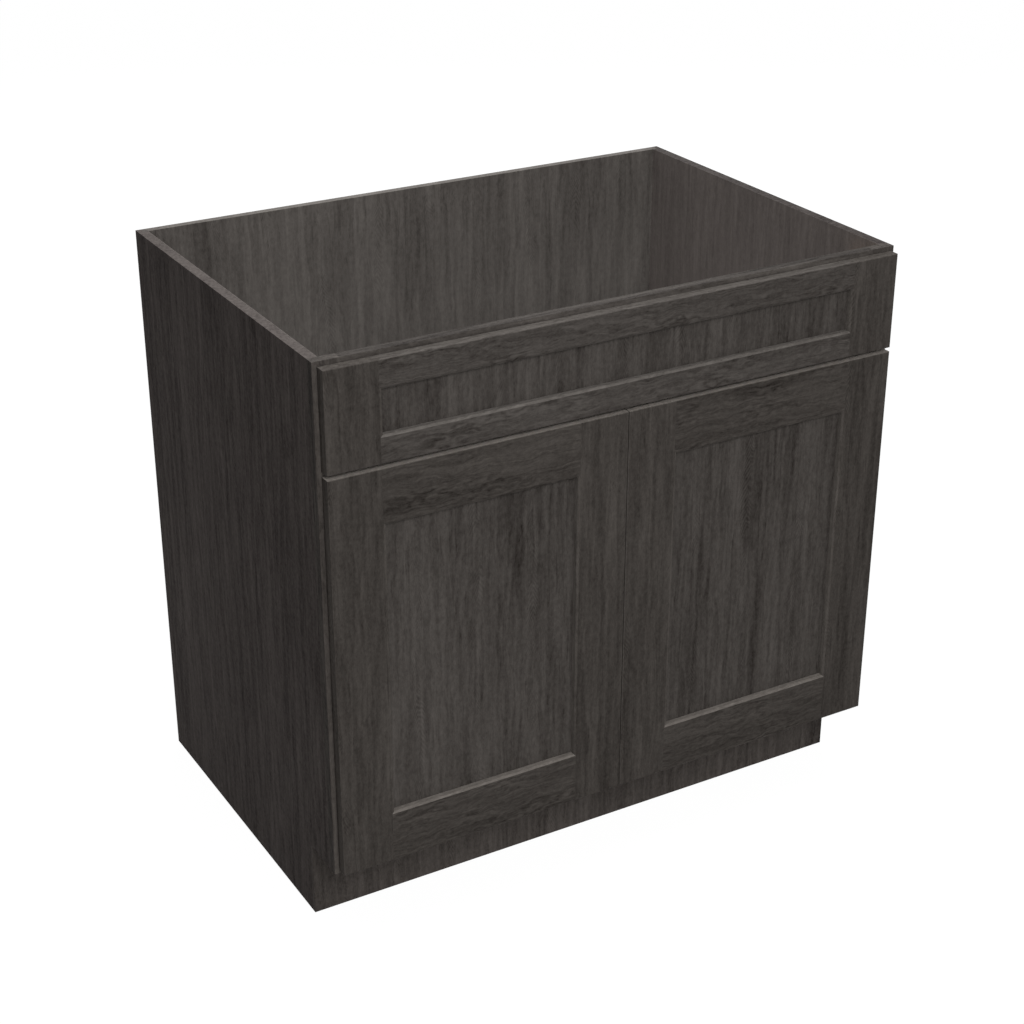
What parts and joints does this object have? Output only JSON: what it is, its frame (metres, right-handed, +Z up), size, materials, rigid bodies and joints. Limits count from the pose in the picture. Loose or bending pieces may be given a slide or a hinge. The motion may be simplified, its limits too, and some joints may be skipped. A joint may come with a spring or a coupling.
{
  "type": "sink base cabinet",
  "caption": "Open-topped sink base cabinet with face frame, framed flat-panel doors on concealed hinges, a fixed false drawer front and a recessed toe kick.",
  "frame": {"origin": "on the floor, under the middle of the whole cabinet, doors included", "axes": "+X to the right as seen by a person who faces the doors, +Y from the doors to the wall, +Z up"},
  "size_m": [0.9144, 0.6276, 0.8763],
  "materials": {
    "stained_wood": "satin charcoal stain over open-grained wood",
    "bare_wood": "unfinished softwood and plywood",
    "nickel_plated_steel": "pressed steel with satin nickel plating",
    "zinc_plated_steel": "zinc plated screws",
    "clear_bumper": "soft translucent plastic"
  },
  "bodies": {
    "cabinet": {"back_panel": "stained_wood", "back_panel_screws": "zinc_plated_steel", "corner_block_left": "bare_wood", "corner_block_right": "bare_wood", "false_front_bottom_rail": "stained_wood", "false_front_panel": "stained_wood", "false_front_screws": "zinc_plated_steel", "false_front_spacers": "clear_bumper", "false_front_stile_left": "stained_wood", "false_front_stile_right": "stained_wood", "false_front_top_rail": "stained_wood", "floor_panel": "stained_wood", "floor_support": "bare_wood", "frame_bottom_rail": "stained_wood", "frame_middle_rail": "stained_wood", "frame_pocket_screws": "zinc_plated_steel", "frame_stile_left": "stained_wood", "frame_stile_right": "stained_wood", "frame_top_rail": "stained_wood", "left_hinge_arm_screws": "zinc_plated_steel", "left_lower_hinge_arm": "nickel_plated_steel", "left_upper_hinge_arm": "nickel_plated_steel", "right_hinge_arm_screws": "zinc_plated_steel", "right_lower_hinge_arm": "nickel_plated_steel", "right_upper_hinge_arm": "nickel_plated_steel", "side_panel_left": "stained_wood", "side_panel_right": "stained_wood", "toe_kick_board": "bare_wood", "toe_kick_cover": "stained_wood"},
    "left_door": {"left_door_bottom_rail": "stained_wood", "left_door_bumpers": "clear_bumper", "left_door_hinge_stile": "stained_wood", "left_door_meeting_stile": "stained_wood", "left_door_panel": "stained_wood", "left_door_top_rail": "stained_wood", "left_hinge_cup_screws": "zinc_plated_steel", "left_lower_hinge_cup": "nickel_plated_steel", "left_lower_hinge_pin": "nickel_plated_steel", "left_upper_hinge_cup": "nickel_plated_steel", "left_upper_hinge_pin": "nickel_plated_steel"},
    "right_door": {"right_door_bottom_rail": "stained_wood", "right_door_bumpers": "clear_bumper", "right_door_hinge_stile": "stained_wood", "right_door_meeting_stile": "stained_wood", "right_door_panel": "stained_wood", "right_door_top_rail": "stained_wood", "right_hinge_cup_screws": "zinc_plated_steel", "right_lower_hinge_cup": "nickel_plated_steel", "right_lower_hinge_pin": "nickel_plated_steel", "right_upper_hinge_cup": "nickel_plated_steel", "right_upper_hinge_pin": "nickel_plated_steel"}
  },
  "joints": [
    {"name": "left_door_hinge", "type": "hinge", "parent": "cabinet", "child": "left_door", "pos_m": [-0.44385, -0.3066, 0.42], "axis": [0, 0, -1], "range_deg": [0, 105]},
    {"name": "right_door_hinge", "type": "hinge", "parent": "cabinet", "child": "right_door", "pos_m": [0.44385, -0.3066, 0.42], "axis": [0, 0, 1], "range_deg": [0, 105]}
  ]
}
